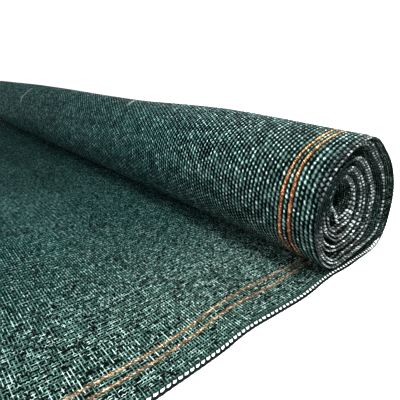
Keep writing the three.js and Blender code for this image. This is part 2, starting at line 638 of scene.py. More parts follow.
class Sheet:
    """A length of the net as one closed mesh: patches for each face, joined at their rims."""

    rim_share = 0.012

    def __init__(self, surface: NetSurface, seed: int) -> None:
        """Starts an empty sheet.

        Args:
            surface: Where the net's points are in space.
            seed: What its stray stitches are drawn from.
        """
        self.mesh = ClothMesh(surface)
        self.random = np.random.default_rng(seed)
        self.level = 0.0
        self.scale = 1.0

    def _shelf(self, share: float, strips: int = 1) -> Shelf:
        """Takes the next free shelf of the bake map.

        Args:
            share: How high the shelf is, before the sheet's own scale.
            strips: How many strips it has.

        Returns:
            The shelf.
        """
        low = self.level
        self.level += share * self.scale
        return Shelf(low, self.level, strips)

    def _patch(self, patch: Patch, face: Face) -> np.ndarray:
        """Adds one patch.

        Args:
            patch: What to add.
            face: Which of the net's faces it is on.

        Returns:
            The numbers of its grid's points.
        """
        surface = self.mesh.surface
        along, wale = np.meshgrid(patch.along, patch.wales, indexing="ij")
        wale = surface.rim(along, wale)
        rows, columns = along.shape
        stray = np.zeros((2, rows, columns))
        stray[:, 1:-1, 1:-1] = self.random.normal(0, patch.stray, (2, rows - 2, columns - 2))
        lift = patch.lift(along, wale)
        grid = self.mesh.add_points(along + stray[0], wale + stray[1] / surface.knit.pitch, lift)
        shelf = self._shelf(patch.share, patch.strips)
        down = np.broadcast_to(np.linspace(0, 1, rows)[:, None], (rows, columns))
        over = np.broadcast_to(np.linspace(0, 1, columns)[None, :], (rows, columns))
        ways = (down, over) if patch.lengthwise else (over, down)

        def cell_corners(values: np.ndarray) -> np.ndarray:
            """The four corners of each cell, one row for each cell."""
            around = (values[:-1, :-1], values[1:, :-1], values[1:, 1:], values[:-1, 1:])
            return np.stack(around, axis=-1).reshape(-1, 4)

        corners = cell_corners(grid)
        places = [cell_corners(way) for way in ways]
        if patch.pits is None:
            self.mesh.add_faces(corners, shelf.spread(*places), face.flips, face.slot)
            return grid
        middle_along = (along[1:, 1:] + along[:-1, :-1]) / 2
        middle_wale = (wale[1:, 1:] + wale[:-1, :-1]) / 2
        depth = patch.pits(middle_along, middle_wale)
        pits = self.mesh.add_points(middle_along, middle_wale, depth).reshape(-1)
        middles = [place.mean(axis=1) for place in places]
        for first in range(4):
            second = (first + 1) % 4
            triangle = np.stack([corners[:, first], corners[:, second], pits], axis=1)
            spread = [
                np.stack([place[:, first], place[:, second], middle], axis=1)
                for place, middle in zip(places, middles)
            ]
            self.mesh.add_faces(triangle, shelf.spread(*spread), face.flips, face.slot)
        return grid

    def _zip(self, one: Border, other: Border, flip: bool, slot: int) -> None:
        """Joins two rows of points with triangles.

        Args:
            one: The first row's point numbers, and how far along the seam each point is.
            other: The same for the second row.
            flip: Whether the faces turn the other way.
            slot: The material slot.
        """
        (first, first_way), (second, second_way) = one, other
        start = min(first_way[0], second_way[0])
        reach = max(first_way[-1], second_way[-1]) - start
        triangles, across, up = [], [], []
        i = j = 0
        while i < len(first) - 1 or j < len(second) - 1:
            here = (first_way[i] - start) / reach
            there = (second_way[j] - start) / reach
            behind = i < len(first) - 1 and (
                j == len(second) - 1 or first_way[i + 1] <= second_way[j + 1]
            )
            if behind:
                triangles.append((first[i], first[i + 1], second[j]))
                across.append((here, (first_way[i + 1] - start) / reach, there))
                up.append((0, 0, 1))
                i += 1
            else:
                triangles.append((first[i], second[j + 1], second[j]))
                across.append((here, (second_way[j + 1] - start) / reach, there))
                up.append((0, 1, 1))
                j += 1
        spread = self._shelf(self.rim_share).spread(np.array(across), np.array(up, dtype=float))
        self.mesh.add_faces(np.array(triangles), spread, flip, slot)

    def _face(self, patches: list[Patch], face: Face) -> dict[str, Border]:
        """Adds the patches of one face and joins them.

        Args:
            patches: The patches, from the near edge to the far one.
            face: Which face they are on.

        Returns:
            The face's four borders, each as point numbers and their way along the border.
        """
        grids = [self._patch(patch, face) for patch in patches]
        for one, other, grid, next_grid in zip(patches, patches[1:], grids, grids[1:]):
            seam = (grid[:, -1], one.along), (next_grid[:, 0], other.along)
            self._zip(*seam, face.flips, face.slot)
        wales = np.concatenate([patch.wales for patch in patches])
        return {
            "near": (grids[0][:, 0], patches[0].along),
            "far": (grids[-1][:, -1], patches[-1].along),
            "start": (np.concatenate([grid[0] for grid in grids]), wales),
            "end": (np.concatenate([grid[-1] for grid in grids]), wales),
        }

    def build(self, name: str, inner: list[Patch], outer: list[Patch]) -> bpy.types.Object:
        """Makes the sheet from the patches of its two faces.

        Args:
            name: The piece's name.
            inner: The inner face's patches, from the near edge to the far one.
            outer: The outer face's patches.

        Returns:
            The new object.
        """
        rims = 4 + len(inner) + len(outer) - 2
        wanted = sum(patch.share for patch in [*inner, *outer]) + rims * self.rim_share
        self.scale = 1 / wanted
        top, bottom = self._face(inner, Face.INNER), self._face(outer, Face.OUTER)
        for border, flip in (("near", False), ("far", True), ("start", True), ("end", False)):
            self._zip(top[border], bottom[border], not flip, Face.INNER.slot)
        return self.mesh.finish(name)


# ---- Finishes ----------------------------------------------------------------------------------

Wire = Union[bpy.types.NodeSocket, float, tuple[float, ...]]
Colour = tuple[float, ...]
Dressed = Union[bpy.types.Material, bpy.types.World]


class Wiring:
    """The nodes of a material or of the surroundings, with short calls for those that a knit needs.

    A value in these calls is a socket, a number or a colour.
    """

    def __init__(self, owner: Dressed) -> None:
        """Starts with no nodes.

        Args:
            owner: What the nodes belong to.
        """
        self.owner = owner
        owner.use_nodes = True
        self.tree = owner.node_tree
        self.tree.nodes.clear()

    def node(self, kind: str, **settings: object) -> bpy.types.Node:
        """Adds a node.

        Args:
            kind: The node's type.
            settings: Its properties.

        Returns:
            The node.
        """
        made = self.tree.nodes.new(kind)
        for key, value in settings.items():
            setattr(made, key, value)
        return made

    def feed(self, socket: bpy.types.NodeSocket, value: Wire) -> None:
        """Links a socket, or sets a plain value on it.

        Args:
            socket: The input.
            value: What it takes.
        """
        if isinstance(value, bpy.types.NodeSocket):
            self.tree.links.new(value, socket)
        else:
            socket.default_value = value

    def fed(self, kind: str, *values: Wire, **settings: object) -> bpy.types.Node:
        """Adds a node and feeds its first inputs.

        Args:
            kind: The node's type.
            values: What the inputs take, in their order.
            settings: The node's properties.

        Returns:
            The node.
        """
        made = self.node(kind, **settings)
        for socket, value in zip(made.inputs, values):
            self.feed(socket, value)
        return made

    def math(self, operation: str, *values: Wire, clamp: bool = False) -> Wire:
        """A Math node over the values."""
        return self.fed("ShaderNodeMath", *values, operation=operation, use_clamp=clamp).outputs[0]

    def product(self, first: Wire, *others: Wire) -> Wire:
        """Multiplies values.

        Args:
            first: The first value.
            others: The others, in their order.

        Returns:
            Their product.
        """
        for other in others:
            first = self.math("MULTIPLY", first, other)
        return first

    def ease(self, value: Wire, low: float, high: float, start: float = 0, end: float = 1) -> Wire:
        """Goes smoothly from start to end as the value goes from low to high."""
        given = (value, low, high, start, end)
        return self.fed("ShaderNodeMapRange", *given, interpolation_type="SMOOTHSTEP").outputs[0]

    def mix(self, share: Wire, first: Wire, second: Wire) -> Wire:
        """Blends two colours.

        Args:
            share: How much there is of the second one.
            first: The first colour.
            second: The second colour.

        Returns:
            The blend.
        """
        made = self.node("ShaderNodeMix", data_type="RGBA")
        for index, value in ((0, share), (6, first), (7, second)):
            self.feed(made.inputs[index], value)
        return made.outputs[2]

    def tint(self, colour: Wire, amount: Wire) -> Wire:
        """Makes a colour lighter or darker.

        Args:
            colour: The colour.
            amount: By how much, around 1.

        Returns:
            The new colour.
        """
        made = self.node("ShaderNodeVectorMath", operation="SCALE")
        self.feed(made.inputs[0], colour)
        self.feed(made.inputs[3], amount)
        return made.outputs[0]

    def noise(self, place: Wire, scale: float, detail: float = 2.0) -> Wire:
        """A soft noise around 0.5.

        Args:
            place: Where it is read.
            scale: How fine it is.
            detail: How many finer noises are in it.

        Returns:
            The noise.
        """
        made = self.node("ShaderNodeTexNoise", noise_dimensions="3D")
        for name, value in (("Vector", place), ("Scale", scale), ("Detail", detail)):
            self.feed(made.inputs[name], value)
        return made.outputs["Fac"]

    def chance(self, *values: Wire) -> Wire:
        """A random number from 0 to 1 for each whole place. The last value tells draws apart."""
        place = self.fed("ShaderNodeCombineXYZ", *values).outputs[0]
        return self.fed("ShaderNodeTexWhiteNoise", place, noise_dimensions="3D").outputs["Value"]

    def stretched(self, place: Wire, *scales: float) -> Wire:
        """A place with its own scale in each direction."""
        return self.fed("ShaderNodeVectorMath", place, scales, operation="MULTIPLY").outputs[0]

    def cell(self, value: Wire, often: float) -> Wire:
        """The number of the cell that a value is in, with so many cells for each whole number."""
        return self.math("ROUND", self.math("MULTIPLY", value, often))

    def off_centre(self, value: Wire) -> Wire:
        """How far a number is from the nearest whole one, from 0 to 0.5."""
        part = self.math("FRACT", self.math("ADD", value, 0.5))
        return self.math("ABSOLUTE", self.math("SUBTRACT", part, 0.5))

    def in_knit(self, knit: Knit) -> tuple[Wire, ...]:
        """Reads the piece's map of its stitches.

        Args:
            knit: How many wales the net has.

        Returns:
            The place in the map, its wale, its course and how many wales it is from an edge.
        """
        place = self.node("ShaderNodeUVMap", uv_map=KNIT_MAP).outputs[0]
        wale, course, _ = self.fed("ShaderNodeSeparateXYZ", place).outputs
        far = self.math("SUBTRACT", float(knit.wales), wale)
        return place, wale, course, self.math("MINIMUM", wale, far)

    def plastic(self, base: Wire, roughness: Wire, specular: float) -> bpy.types.Node:
        """Adds a plastic shader.

        Args:
            base: Its colour.
            roughness: Its roughness.
            specular: How strongly it reflects.

        Returns:
            The shader's node.
        """
        shader = self.node("ShaderNodeBsdfPrincipled")
        self.feed(shader.inputs["Base Color"], base)
        self.feed(shader.inputs["Roughness"], roughness)
        shader.inputs["Specular IOR Level"].default_value = specular
        return shader

    def output(self, shader: bpy.types.Node, kind: str = "ShaderNodeOutputMaterial") -> Dressed:
        """Ends the nodes in a shader, and gives what they belong to."""
        self.fed(kind, shader.outputs[0])
        return self.owner


def screen_colour(*channels: int) -> Colour:
    """A screen colour as a shader takes it.

    Args:
        channels: Red, green and blue, from 0 to 255.

    Returns:
        The linear colour, with its alpha.
    """
    linear = (
        share / 12.92 if share <= 0.04045 else ((share + 0.055) / 1.055) ** 2.4
        for share in (value / 255 for value in channels)
    )
    return (*linear, 1.0)


@dataclass(frozen=True)
class Stitch:
    """What each place of the knit is: where it lies, how far its yarn is raised, and its hole."""

    place: Wire
    wale: Wire
    course: Wire
    from_edge: Wire
    inside: Wire
    by_stitch: Wire
    raised: Wire
    hole: Wire


@dataclass(frozen=True)
class KnitFinish:
    """The net's plastic yarn on one face, with its stitches, holes and marker lines.

    Colours: glint is a painted highlight on the plies, yarn the net near its edges and deep_yarn
    further in, shade the sides of the yarn and hole what shows between: the dark inlay with the
    shade in the gaps painted into it. The marker lines have their own three, with marker_highlight
    their painted highlight, and marker_lit_top is painted light on them over the top of the roll,
    between lit_top_courses. They are marker_half wide to each side, in wales.

    Shares: highlight_inside and far_highlight are what is left of the painted highlight away from
    the markers and far in, edge_lift lightens the flat stretch towards its edges, wound_shade is
    painted shade that darkens the face where it is wound in the roll, pores darkens its holes far
    in, grain is how fine the plies are, rippled and sparkle how much the light varies, and
    brightest the most it may. The knit counts as flat up to the course wound_from.

    A bead slants by slope and is an ellipse with roundness as its power. The creases are painted
    highlights along folds, each given by its wale, its first and last course and its lean.
    """

    name: str
    face: Face
    glint: Colour
    yarn: Colour
    deep_yarn: Colour
    shade: Colour
    marker: Colour
    marker_shade: Colour
    marker_highlight: Colour
    far_highlight: float
    grain: float
    sparkle: float
    marker_half: float
    marker_lit_top: Colour = (0.4, 0.3, 0.1, 1.0)
    # Near black: the dark inlay seen between the yarns, with the shade in the gaps painted into it.
    hole: Colour = screen_colour(0, 1, 1)
    highlight_inside: float = 1.0
    edge_lift: float = 1.0
    pores: float = 0.0
    rippled: float = 0.05
    brightest: float = 1.7
    wound_shade: float = 1.0
    wound_from: float = 82.0
    lit_top_courses: tuple[float, float] = (0.0, 1.0)
    crease_highlights: tuple[tuple[float, ...], ...] = ()
    roughness: float = 0.5
    specular: float = 0.015
    bump: float = 0.6
    slope: float = 0.6
    roundness: float = 1.4

    def material(self, knit: Knit) -> bpy.types.Material:
        """Builds the material.

        Args:
            knit: The net's wales, and which of them the marker lines are.

        Returns:
            The finished material.
        """
        w = Wiring(bpy.data.materials.new(self.name))
        place, wale, course, from_edge = w.in_knit(knit)
        stitches = self._crossings if self.face is Face.INNER else self._beads
        inside = w.ease(from_edge, 6.0, 62.0)
        stitch = Stitch(place, wale, course, from_edge, inside, *stitches(w, place, wale, course))
        yarn, hole = self._marked(w, stitch, knit)
        base = w.mix(hole, w.tint(yarn, self._varied(w, stitch)), self.hole)
        # Painted highlights along folds of the roll's outer face.
        for crease in self.crease_highlights:
            base = w.mix(self._crease_highlight(w, stitch, crease), base, self.glint)
        rough = w.math("MULTIPLY_ADD", stitch.by_stitch, 0.16, self.roughness - 0.08)
        rough = w.math("MULTIPLY_ADD", hole, 0.3, rough, clamp=True)
        shader = w.plastic(base, rough, self.specular)
        fibres = w.noise(w.math("MULTIPLY", wale, 9.0), 1.0)
        bump = w.node("ShaderNodeBump")
        bump.inputs["Strength"].default_value = self.bump
        bump.inputs["Distance"].default_value = 0.4 * MM
        w.feed(bump.inputs["Height"], w.math("MULTIPLY_ADD", fibres, 0.25, stitch.raised))
        w.feed(shader.inputs["Normal"], bump.outputs[0])
        return w.output(shader)

    def _crossings(self, w: Wiring, place: Wire, wale: Wire, course: Wire) -> tuple[Wire, ...]:
        """The inner face: legs along the wales and wefts across them, with holes between.

        Args:
            w: The material's nodes.
            place: The place in the map.
            wale: Its wale.
            course: Its course.

        Returns:
            A number by stitch, how far the yarn is raised, and how much is a hole.
        """
        ways = w.math("MULTIPLY", wale, 2.0), w.math("MULTIPLY", course, 2.0)
        column, row = (w.math("ROUND", way) for way in ways)
        tension = w.noise(place, 0.075, 1.0)
        chances = w.chance(column, row, 5.0), w.chance(w.math("FLOOR", ways[0]), row, 9.0)
        here = w.ease(tension, 0.4, 0.6, 0.8, 0.95), w.ease(tension, 0.4, 0.6, 0.95, 0.8)
        leg, weft = (
            w.product(
                w.ease(w.off_centre(way), 0.06, 0.28, 1, 0),
                w.ease(chance, 0.05, 0.55, 0.5, 1),
                share,
            )
            for way, chance, share in zip(ways, chances, here)
        )
        raised = w.math("MAXIMUM", leg, weft)
        return w.chance(column, row, 1.0), raised, w.ease(raised, 0.38, 0.98, 1, 0)

    def _beads(self, w: Wiring, place: Wire, wale: Wire, course: Wire) -> tuple[Wire, ...]:
        """The outer face: chains of slanting beads, each next to the gap of its neighbours.

        Args:
            w: The material's nodes.
            place: The place in the map.
            wale: Its wale.
            course: Its course.

        Returns:
            A number by stitch, how far the yarn is raised, and how much is a hole.
        """
        nearest = w.math("ROUND", wale)
        staggered = w.math("ADD", course, w.product(w.math("FLOORED_MODULO", nearest, 2.0), 0.5))
        row = w.math("ROUND", staggered)
        drift = w.math("MULTIPLY_ADD", w.noise(place, 1.7, 1.0), 0.5, -0.25)
        aside = w.math("ADD", w.math("SUBTRACT", wale, nearest), w.product(drift, 0.5))
        sloped = w.math("ADD", w.math("MULTIPLY_ADD", aside, self.slope, staggered), drift)
        ways = (w.math("ABSOLUTE", aside), 0.46), (w.off_centre(sloped), 0.6)
        powers = (
            w.math("POWER", w.math("DIVIDE", way, reach), self.roundness) for way, reach in ways
        )
        spread = w.math("POWER", w.math("ADD", *powers), 1 / self.roundness)
        spread = w.product(spread, w.ease(w.chance(nearest, row, 4.0), 0.0, 1.0, 0.78, 1.25))
        raised = w.ease(spread, 0.15, 0.95, 1, 0)
        return w.chance(nearest, row, 1.0), raised, w.ease(spread, 0.66, 1.0)

    def _marked(self, w: Wiring, stitch: Stitch, knit: Knit) -> tuple[Wire, Wire]:
        """Colours the yarn and its marker lines.

        Args:
            w: The material's nodes.
            stitch: What each place is.
            knit: Which wales the marker lines are.

        Returns:
            The colour, and how much is a hole.
        """
        colour = w.mix(stitch.inside, self.yarn, self.deep_yarn)
        yarn = w.mix(w.math("POWER", stitch.raised, 1.5), self.shade, colour)
        # A painted highlight on the most raised plies, with less of it far in.
        glint = w.product(
            w.ease(stitch.raised, 0.6, 1.0),
            w.ease(stitch.by_stitch, 0.35, 1.0),
            w.ease(stitch.inside, 0.0, 1.0, 1.0, self.far_highlight),
            w.ease(stitch.from_edge, 4.0, 16.0, 1.0, self.highlight_inside),
        )
        yarn = w.mix(glint, yarn, self.glint)

        away = self._from_marker(w, stitch.from_edge, knit)
        half = self.marker_half
        marked = w.ease(away, half - 0.06, half + 0.06, 1, 0)
        by_end = w.chance(w.cell(stitch.wale, 4.0), w.cell(stitch.course, 2.6), 12.0)
        half_courses = w.math("MULTIPLY", stitch.course, 2.0)
        twist = w.off_centre(w.math("MULTIPLY_ADD", stitch.wale, 1.6, half_courses))
        strand = w.product(
            w.ease(twist, 0.1, 0.4, 1, 0.25),
            w.math("MULTIPLY_ADD", stitch.raised, 0.5, 0.5),
            w.ease(away, 0.14, half, 1, 0.15),
            w.ease(by_end, 0.05, 0.75, 0.2, 1.0),
        )
        # Painted light: the marker lines are paler up to the top of the roll, fading down its
        # front.
        over = w.ease(stitch.course, *self.lit_top_courses, 1.0, 0.0)
        marker = w.mix(strand, self.marker_shade, w.mix(over, self.marker, self.marker_lit_top))
        # A painted highlight on bright specks of the marker strands.
        marker_highlight_share = w.product(strand, w.ease(by_end, 0.6, 0.95, 0, 1.0))
        marker = w.mix(marker_highlight_share, marker, self.marker_highlight)
        filled = w.math("SUBTRACT", 1.0, w.math("MULTIPLY", marked, 0.4))
        return w.mix(marked, yarn, marker), w.math("MULTIPLY", stitch.hole, filled)

    def _varied(self, w: Wiring, stitch: Stitch) -> Wire:
        """How light or dark the yarn is from place to place.

        Args:
            w: The material's nodes.
            stitch: What each place is.

        Returns:
            A factor around 1.
        """
        by_cell = w.chance(w.cell(stitch.wale, 0.5), w.cell(stitch.course, 0.9), 6.0)
        far_in = w.ease(stitch.wale, 70.0, 170.0, 0.1, self.sparkle)
        sparkle = w.product(w.ease(by_cell, 0.8, 1.0), far_in)
        flat = w.ease(stitch.course, self.wound_from - 9, self.wound_from + 9, 1.0, 0.0)
        lifted = w.product(flat, w.ease(stitch.from_edge, 3.0, 44.0, self.edge_lift - 1, 0.0))
        off_wale, off_course = w.off_centre(stitch.wale), w.off_centre(stitch.course)
        gaps = w.product(w.ease(off_wale, 0.2, 0.42), w.ease(off_course, 0.12, 0.36))
        pores = w.product(gaps, w.product(stitch.inside, self.pores))
        ripple = w.noise(w.stretched(stitch.place, 0.012, 0.13, 1.0), 1.0, 2.0)
        varied = w.product(
            w.math("MULTIPLY_ADD", stitch.by_stitch, 0.8, 0.6),
            w.ease(w.noise(stitch.place, self.grain, 1.0), 0.3, 0.7, 0.45, 1.55),
            w.math("MULTIPLY_ADD", w.chance(w.math("ROUND", stitch.wale), 3.0, 7.0), 0.2, 0.9),
            w.ease(w.noise(stitch.place, 0.028, 3.0), 0.3, 0.7, 0.9, 1.1),
            w.ease(w.noise(stitch.place, 0.21, 2.0), 0.25, 0.75, 0.96, 1.04),
            w.ease(ripple, 0.3, 0.7, 1 - self.rippled, 1 + self.rippled),
            w.math("ADD", sparkle, 1.0),
            # Painted shade: the yarn is darker by wound_shade where it is wound into the roll.
            w.math("ADD", lifted, w.ease(flat, 0.0, 1.0, self.wound_shade, 1.0)),
            w.math("SUBTRACT", 1.0, pores),
        )
        return w.math("MINIMUM", varied, self.brightest)

    def _from_marker(self, w: Wiring, from_edge: Wire, knit: Knit) -> Wire:
        """How many wales a place is from the nearest marker line.

        Args:
            w: The material's nodes.
            from_edge: How many wales it is from the edge.
            knit: Which wales the marker lines are.

        Returns:
            The distance.
        """
        first, second = knit.marker_wales
        away = w.math("ABSOLUTE", w.math("SUBTRACT", from_edge, (first + second) / 2))
        return w.math("ABSOLUTE", w.math("SUBTRACT", away, (second - first) / 2))

    def _crease_highlight(self, w: Wiring, stitch: Stitch, crease: tuple[float, ...]) -> Wire:
        """A painted highlight along a short crease across the wales.

        Args:
            w: The material's nodes.
            stitch: What each place is.
            crease: Its wale, its first and last course, and its lean.

        Returns:
            How much of each place it covers.
        """
        at_wale, first, last, lean = crease
        leant = w.math("MULTIPLY_ADD", stitch.course, -lean, stitch.wale)
        off = w.math("ABSOLUTE", w.math("SUBTRACT", leant, at_wale - lean * first))
        ends = w.ease(stitch.course, first, first + 1), w.ease(stitch.course, last - 3, last, 1, 0)
        return w.product(w.ease(off, 0.2, 1.3, 0.6, 0), w.product(*ends))


@dataclass(frozen=True)
class CordFinish:
    """The plastic cord and rungs of the edges: dark, with a painted highlight on the top of each
    stitch.
    """

    name: str = "edge_cord"
    dark: Colour = screen_colour(6, 15, 15)
    crown: Colour = screen_colour(226, 242, 238)
    yarn: Colour = screen_colour(52, 88, 82)
    roughness: float = 0.5
    specular: float = 0.01

    def material(self, knit: Knit) -> bpy.types.Material:
        """Builds the material.

        Args:
            knit: How many wales the net has.

        Returns:
            The finished material.
        """
        w = Wiring(bpy.data.materials.new(self.name))
        _, wale, course, from_edge = w.in_knit(knit)
        knitted = w.product(w.ease(from_edge, 0.75, 0.95), w.ease(course, 80, 92, 1, 0))
        stitch = w.math("ADD", course, w.math("MULTIPLY", wale, 0.5))
        chance = w.chance(w.math("ROUND", stitch), w.math("ROUND", wale), 2.0)
        # A painted highlight on the top of each stitch, as strong as the point attribute says.
        crown = w.product(
            w.ease(w.off_centre(stitch), 0.16, 0.36, 1, 0),
            w.ease(chance, 0.2, 0.9, 0.15, 1),
            w.node("ShaderNodeAttribute", attribute_name=CROWN_HIGHLIGHT).outputs["Fac"],
        )
        loop = w.ease(w.off_centre(w.math("MULTIPLY", course, 2.0)), 0.1, 0.4, 1, 0.15)
        teal = w.mix(w.product(loop, w.ease(chance, 0, 1, 0.4, 1)), self.dark, self.yarn)
        base = w.mix(crown, w.mix(knitted, self.dark, teal), self.crown)
        rough = w.ease(chance, 0, 1, self.roughness - 0.08, self.roughness + 0.16)
        return w.output(w.plastic(base, rough, self.specular))


@dataclass(frozen=True)
class FloorFinish:
    """The studio's plain white floor, which glows softly where no lamp reaches."""

    name: str = "studio_floor"
    colour: Colour = (0.92, 0.92, 0.92, 1.0)
    near: float = 0.45
    far: float = 1.1
    near_glow: float = 0.5
    far_glow: float = 1.0

    def material(self) -> bpy.types.Material:
        """Builds the material.

        Returns:
            The finished material.
        """
        w = Wiring(bpy.data.materials.new(self.name))
        place = w.node("ShaderNodeTexCoord").outputs["Object"]
        distance = w.fed("ShaderNodeVectorMath", place, operation="LENGTH").outputs["Value"]
        strength = w.ease(distance, self.near, self.far, self.near_glow, self.far_glow)
        matt = w.fed("ShaderNodeBsdfDiffuse", self.colour).outputs[0]
        glow = w.fed("ShaderNodeEmission", (1.0, 1.0, 1.0, 1.0), strength).outputs[0]
        return w.output(w.fed("ShaderNodeAddShader", matt, glow))


# ---- The net's lengths -------------------------------------------------------------------------


def declare(piece: bpy.types.Object, materials: list[bpy.types.Material]) -> None:
    """Gives a piece its materials and says what it stands for.

    Args:
        piece: The piece.
        materials: Its materials, in the order of its slots.
    """
    for material in materials:
        piece.data.materials.append(material)
    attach(piece, BODY)
    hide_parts(NODE)


def bead_wales(first: int, last: int, sides: float) -> np.ndarray:
    """Columns for wales of beads: two sides and a gap for each wale."""
    wales = np.arange(first, last + 1)[:, None] + np.array([[-sides, sides, 0.5]])
    return wales.reshape(-1)


def rim_wales(last: int) -> np.ndarray:
    """Columns for plain wales from the rim on: a ridge and a gap for each wale."""
    return np.concatenate([[NetSurface.open_rim], np.arange(4, 2 * last + 2) / 2])


def flat_face(value: float) -> Lift:
    """A lift that is the same everywhere."""
    return lambda along, wale: np.full(wale.shape, value)


@dataclass
class GroundStretch:
    """The unrolled stretch on the ground, as a lattice of yarns with pits between them.

    The crossings are crossing high, rim_crossing along the edges and end_crossing at the ends.
    """

    surface: NetSurface
    end: float = 310.0
    crossing: float = 0.88
    crossing_varies: float = 0.07
    rim_crossing: float = 0.6
    end_crossing: float = 0.4
    pit: float = 0.12
    pit_varies: float = 0.06
    under: float = -1.08
    stray: float = 0.14

    def build(self) -> bpy.types.Object:
        """Makes the stretch's mesh.

        Returns:
            The new object.
        """
        knit = self.surface.knit
        half = knit.course / 2
        rows = np.arange(0, self.end / half).astype(int) * half
        first, last = self.surface.open_rim, knit.wales - self.surface.open_rim
        wales = np.concatenate([[first], np.arange(2, knit.wales - 1), [last]])
        random = np.random.default_rng(5)

        def crossings(along: np.ndarray, wale: np.ndarray) -> np.ndarray:
            """How high the yarns cross.

            Args:
                along: Distance from the free end. Not used.
                wale: The wale.

            Returns:
                The lift towards the inner face.
            """
            edge = np.minimum(wale, knit.wales - wale)
            height = self.crossing + random.normal(0, self.crossing_varies, wale.shape)
            height = np.where(edge < 2, self.rim_crossing, height)
            height[[0, -1]] = self.end_crossing
            return height

        def pits(along: np.ndarray, wale: np.ndarray) -> np.ndarray:
            """How deep the pits are."""
            return self.pit + random.normal(0, self.pit_varies, wale.shape)

        top = Patch(rows, wales, crossings, 1.0, strips=2, pits=pits, stray=self.stray)
        under = flat_face(self.under)
        bottom = Patch(np.linspace(0, rows[-1], 26), np.linspace(first, last, 40), under, 0.12)
        return Sheet(self.surface, seed=11).build("net_ground", [top], [bottom])

    def size(self) -> tuple[float, float]:
        """The stretch's flat width and length, in metres."""
        return (self.surface.knit.width * MM, self.end * MM)


@dataclass
class BeadRelief:
    """Chains of beads with gaps between them, on either face.

    bead, joint and gap are their heights. A marker line's joints are nearly as high as its beads.
    """

    surface: NetSurface
    face: Face
    bead: float
    joint: float
    gap: float
    seed: int
    lowest_wale: float = 1.7
    marker_joint: float = 0.9
    bead_varies: float = 0.05

    def __call__(self, along: np.ndarray, wale: np.ndarray) -> np.ndarray:
        """How far the beads stand off the middle line.

        Args:
            along: Distance from the free end.
            wale: The wale.

        Returns:
            The lift towards the inner face.
        """
        knit = self.surface.knit
        random = np.random.default_rng(self.seed)
        on_bead = np.abs(wale - np.round(wale)) < 0.4
        course = along / knit.course + np.mod(np.round(wale), 2) / 2
        at_middle = np.abs(course - np.round(course)) < 0.25
        edge = np.minimum(wale, knit.wales - wale)
        plain = np.where(self.surface.closed(along) > 0.9, 0.4, self.lowest_wale)
        from_marker = np.min([np.abs(edge - marker) for marker in knit.marker_wales], axis=0)
        joint = np.where(from_marker < 0.4, self.marker_joint * self.bead, self.joint)
        height = np.where(on_bead, np.where(at_middle, self.bead, joint), self.gap)
        height = height + random.normal(0, self.bead_varies * self.bead, wale.shape) * on_bead
        return self.face.value * np.where(edge < plain, self.gap, height)


@dataclass
class OuterTurn:
    """One half of the outermost turn, from under the roll round the back and down the front.

    It begins at start and shows from clear on. The halves meet at split_wale. Near its edge, over
    band wales, the inner face has beads too, and drawn are the columns between rim and first wale.
    """

    surface: NetSurface
    edge: Edge
    start: float
    clear: float = 366.0
    end_turns: float = 12.0 / 13.0
    sides: float = 0.27
    split_wale: float = 142.5
    band: int = 10
    drawn: tuple[float, ...] = (1.265, 1.399, 1.5, 1.609)

    def build(self) -> bpy.types.Object:
        """Makes the half's mesh.

        Returns:
            The new object.
        """
        knit = self.surface.knit
        half = knit.course / 2
        end = self.surface.line.along_at(self.end_turns)
        first, last = round(self.clear / half), int(end / half)
        fine = np.arange(first, last + 1) * half
        rows = np.concatenate([np.linspace(self.start, fine[0], 12)[:-1], fine])
        coarse_rows = np.linspace(self.start, fine[-1], 60)
        rim = np.concatenate([[self.surface.open_rim], self.drawn])
        banded = rim_wales(self.band)
        split = int(self.split_wale)
        if self.edge is Edge.NEAR:
            columns = np.concatenate([rim, bead_wales(2, split, self.sides)])
            plain = np.linspace(self.band + 4, self.split_wale, 16)
        else:
            beads = bead_wales(split + 1, knit.wales - 2, self.sides)
            columns = np.concatenate([[self.split_wale], beads[:-1], (knit.wales - rim)[::-1]])
            banded = (knit.wales - banded)[::-1]
            plain = np.linspace(self.split_wale, knit.wales - self.band - 4, 16)
        outer_relief = BeadRelief(self.surface, Face.OUTER, 1.08, 0.8, 0.25, seed=3)
        inner_relief = BeadRelief(self.surface, Face.INNER, 0.6, 0.42, 0.2, seed=4)
        outer = Patch(rows, columns, outer_relief, 1.0, stray=0.1)
        inner = [
            Patch(rows, banded, inner_relief, 0.16, strips=2, lengthwise=True),
            Patch(coarse_rows, plain, flat_face(0.35), 0.14),
        ]
        if self.edge is Edge.FAR:
            inner.reverse()
        sheet = Sheet(self.surface, seed=21 + self.edge.value)
        return sheet.build(f"net_turn_{self.edge.name.lower()}", inner, [outer])

    def size(self) -> tuple[float, float]:
        """The half's flat size.

        Returns:
            Its width and its length, in metres.
        """
        knit = self.surface.knit
        wales = self.split_wale if self.edge is Edge.NEAR else knit.wales - self.split_wale
        length = self.surface.line.along_at(self.end_turns) - self.start
        return (wales * knit.pitch * MM, length * MM)


